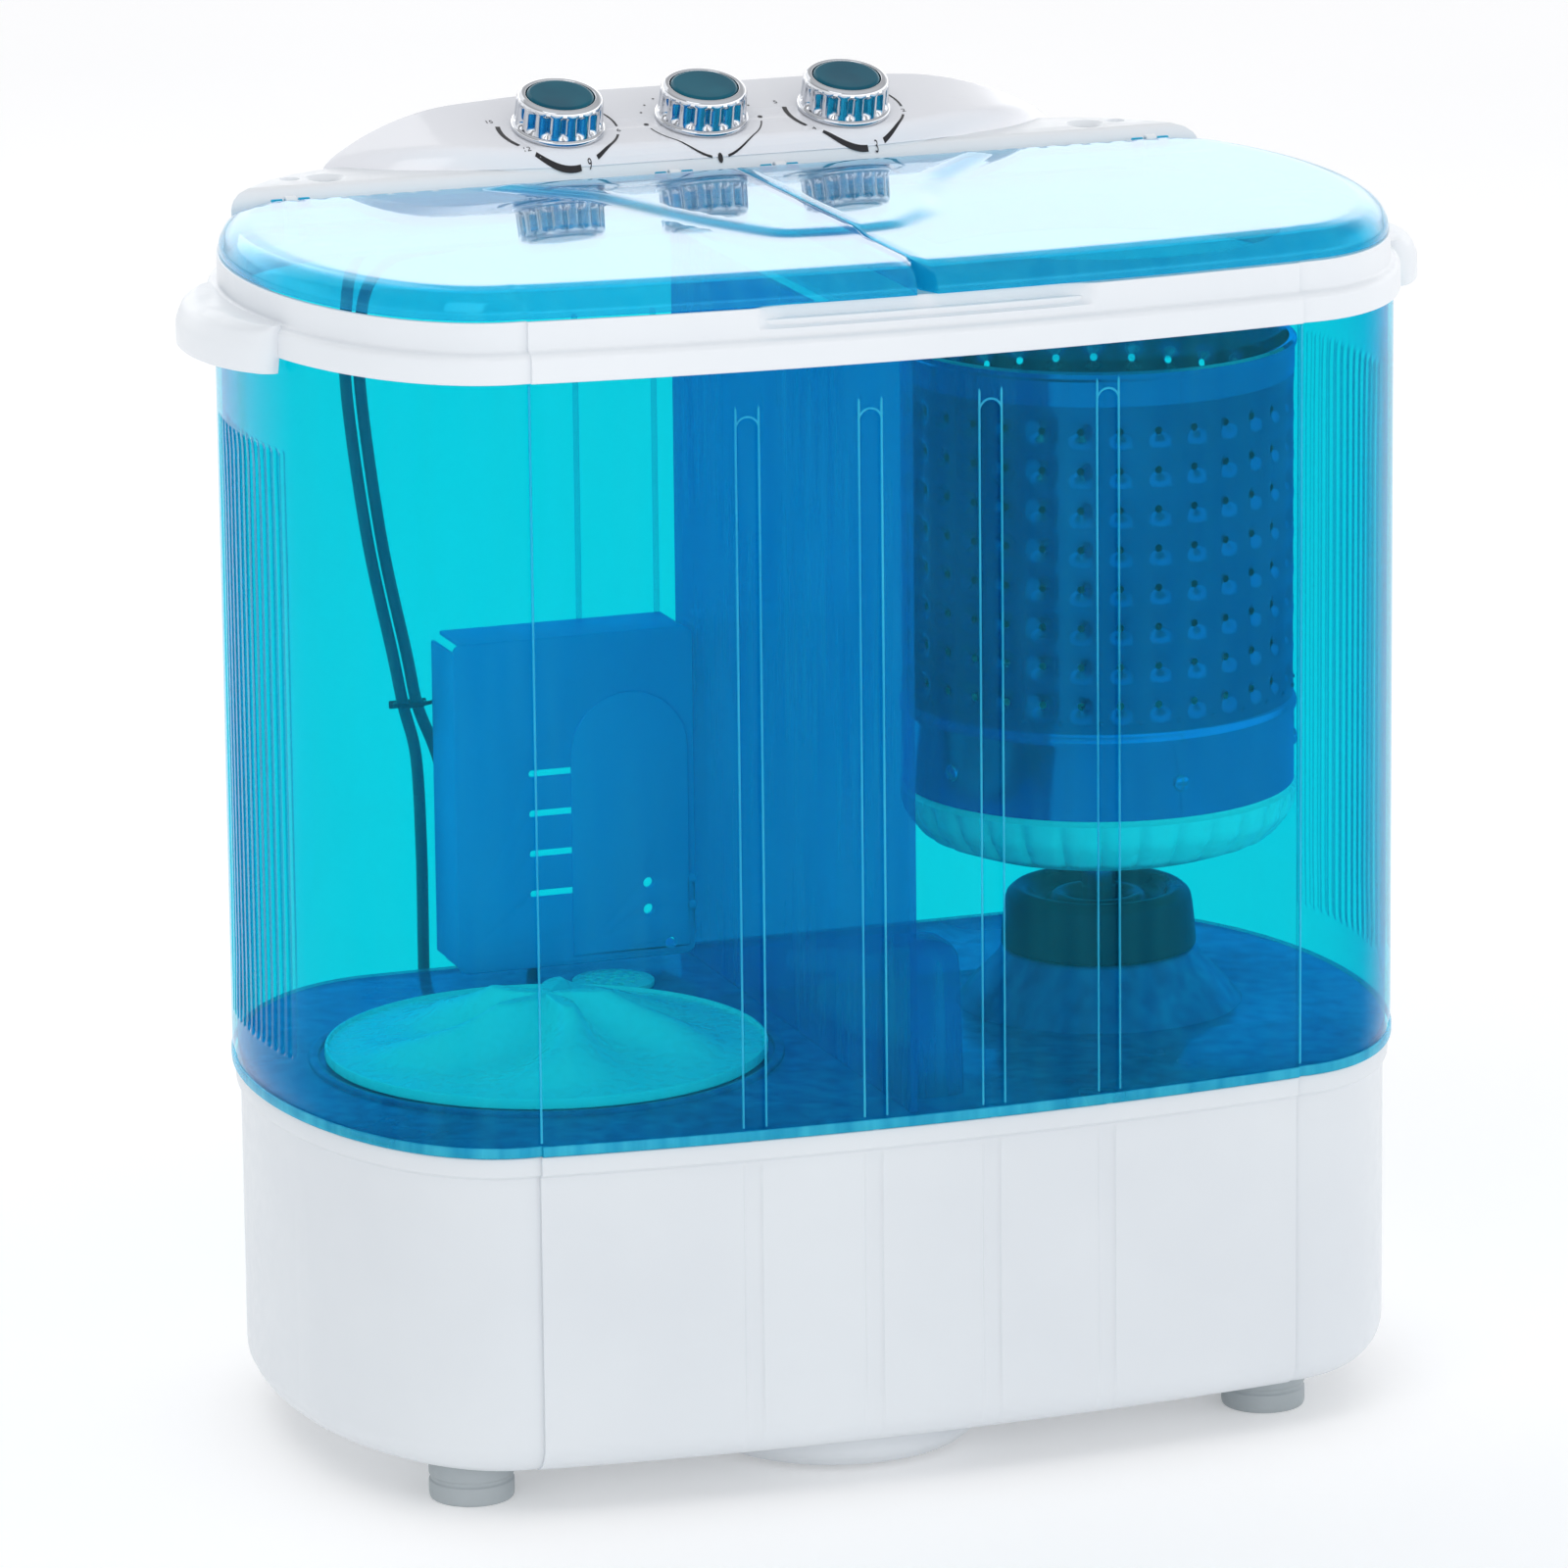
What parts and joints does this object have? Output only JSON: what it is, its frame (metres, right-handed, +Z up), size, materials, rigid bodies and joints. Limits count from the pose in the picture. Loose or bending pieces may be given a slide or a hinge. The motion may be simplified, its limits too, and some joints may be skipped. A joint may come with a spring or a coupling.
{
  "type": "twin tub washer",
  "caption": "Compact twin tub washing machine: clear blue tub body with wash pulsator and steel spin basket, white base and rim, hinged lids and a knobbed rear console.",
  "frame": {"origin": "on the floor under the middle of the machine's bounding box", "axes": "+Z up, -Y towards the person using it, -X towards the wash tub"},
  "size_m": [0.544, 0.323, 0.5573],
  "materials": {
    "white_shell": "satin white moulded plastic",
    "inner_white": "satin white moulded plastic",
    "panel_overlay": "glossy pale grey printed film",
    "tub_blue": "clear blue glossy plastic",
    "lid_blue": "clear blue glossy plastic",
    "cover_blue": "blue moulded plastic",
    "cap_teal": "clear teal plastic",
    "knob_chrome": "chrome-plated plastic",
    "steel": "brushed stainless steel",
    "cast_metal": "bare casting",
    "motor_shell": "dark painted motor shell",
    "rubber": "matt black rubber",
    "foot_grey": "pale grey rubber",
    "lead_sheath": "dark vinyl sheath"
  },
  "bodies": {
    "cabinet": {"base_housing": "white_shell", "bottom_cover": "white_shell", "foot_front_left": "foot_grey", "foot_rear_left": "foot_grey", "foot_front_right": "foot_grey", "foot_rear_right": "foot_grey", "cord_gland": "rubber", "tub_body": "tub_blue", "overflow_filter_cover": "cover_blue", "drain_grate": "inner_white", "top_frame": "white_shell", "carry_grip_right": "white_shell", "carry_grip_left": "white_shell", "panel_overlay": "panel_overlay", "wash_timer_body": "inner_white", "selector_body": "inner_white", "spin_timer_body": "inner_white", "control_panel": "white_shell", "panel_screw_left": "steel", "panel_screw_right": "steel", "pulsator_bearing": "cast_metal", "wash_motor": "motor_shell", "drive_belt": "rubber", "drain_valve_body": "inner_white", "drain_pipe": "inner_white", "spin_boot": "rubber", "spin_motor": "motor_shell", "spin_motor_mount_1": "rubber", "spin_motor_mount_2": "rubber", "spin_motor_mount_3": "rubber", "capacitor": "inner_white", "wash_lead": "lead_sheath", "spin_lead": "lead_sheath", "lead_clip": "rubber"},
    "wash_lid": {"wash_lid": "lid_blue"},
    "spin_lid": {"spin_lid": "lid_blue"},
    "wash_timer": {"wash_timer_knob": "knob_chrome", "wash_timer_cap": "cap_teal"},
    "selector": {"selector_knob": "knob_chrome", "selector_cap": "cap_teal"},
    "spin_timer": {"spin_timer_knob": "knob_chrome", "spin_timer_cap": "cap_teal"},
    "pulsator": {"pulsator": "inner_white", "pulsator_shaft": "steel", "pulsator_pulley": "inner_white"},
    "motor_pulley": {"motor_pulley": "steel"},
    "spin_basket": {"spin_basket": "steel", "basket_base": "inner_white", "basket_screw_1": "steel", "basket_screw_2": "steel", "basket_screw_3": "steel", "basket_screw_4": "steel", "basket_screw_5": "steel", "spin_shaft": "steel", "brake_drum": "cast_metal"},
    "brake_lever": {"brake_lever": "cast_metal"},
    "drain_valve": {"drain_valve_plunger": "rubber"}
  },
  "joints": [
    {"name": "wash_lid_hinge", "type": "hinge", "parent": "cabinet", "child": "wash_lid", "pos_m": [-0.11, 0.093, 0.519], "axis": [-1, 0, 0], "range_deg": [0, 94]},
    {"name": "spin_lid_hinge", "type": "hinge", "parent": "cabinet", "child": "spin_lid", "pos_m": [0.11, 0.093, 0.519], "axis": [-1, 0, 0], "range_deg": [0, 94]},
    {"name": "wash_timer_turn", "type": "hinge", "parent": "cabinet", "child": "wash_timer", "pos_m": [-0.0655, 0.126, 0.5373], "axis": [0, 0.284, -0.9588], "range_deg": [0, 300]},
    {"name": "selector_turn", "type": "hinge", "parent": "cabinet", "child": "selector", "pos_m": [0, 0.126, 0.5373], "axis": [0, -0.284, 0.9588], "range_deg": [0, 110]},
    {"name": "spin_timer_turn", "type": "hinge", "parent": "cabinet", "child": "spin_timer", "pos_m": [0.0655, 0.126, 0.5373], "axis": [0, 0.284, -0.9588], "range_deg": [0, 300]},
    {"name": "pulsator_spin", "type": "hinge", "parent": "cabinet", "child": "pulsator", "pos_m": [-0.1203, -0.0065, 0.164], "axis": [0, 0, 1], "continuous": true},
    {"name": "motor_pulley_spin", "type": "hinge", "parent": "cabinet", "child": "motor_pulley", "pos_m": [-0.15, 0.092, 0.077], "axis": [0, 0, 1], "continuous": true},
    {"name": "basket_spin", "type": "hinge", "parent": "cabinet", "child": "spin_basket", "pos_m": [0.132, -0.0065, 0.26], "axis": [0, 0, 1], "continuous": true},
    {"name": "brake_lever_swing", "type": "hinge", "parent": "cabinet", "child": "brake_lever", "pos_m": [0.196, 0.0235, 0.13], "axis": [0, 0, -1], "range_deg": [0, 2.9]},
    {"name": "drain_valve_lift", "type": "slide", "parent": "cabinet", "child": "drain_valve", "axis": [0, 0, 1], "range_m": [0, 0.0081]}
  ],
  "couplings": [
    {"joint": "motor_pulley_spin", "follows": "pulsator_spin", "ratio": 3.75},
    {"joint": "brake_lever_swing", "follows": "spin_lid_hinge", "ratio": 0.029787},
    {"joint": "drain_valve_lift", "follows": "selector_turn", "m_per_rad": 0.004167}
  ]
}
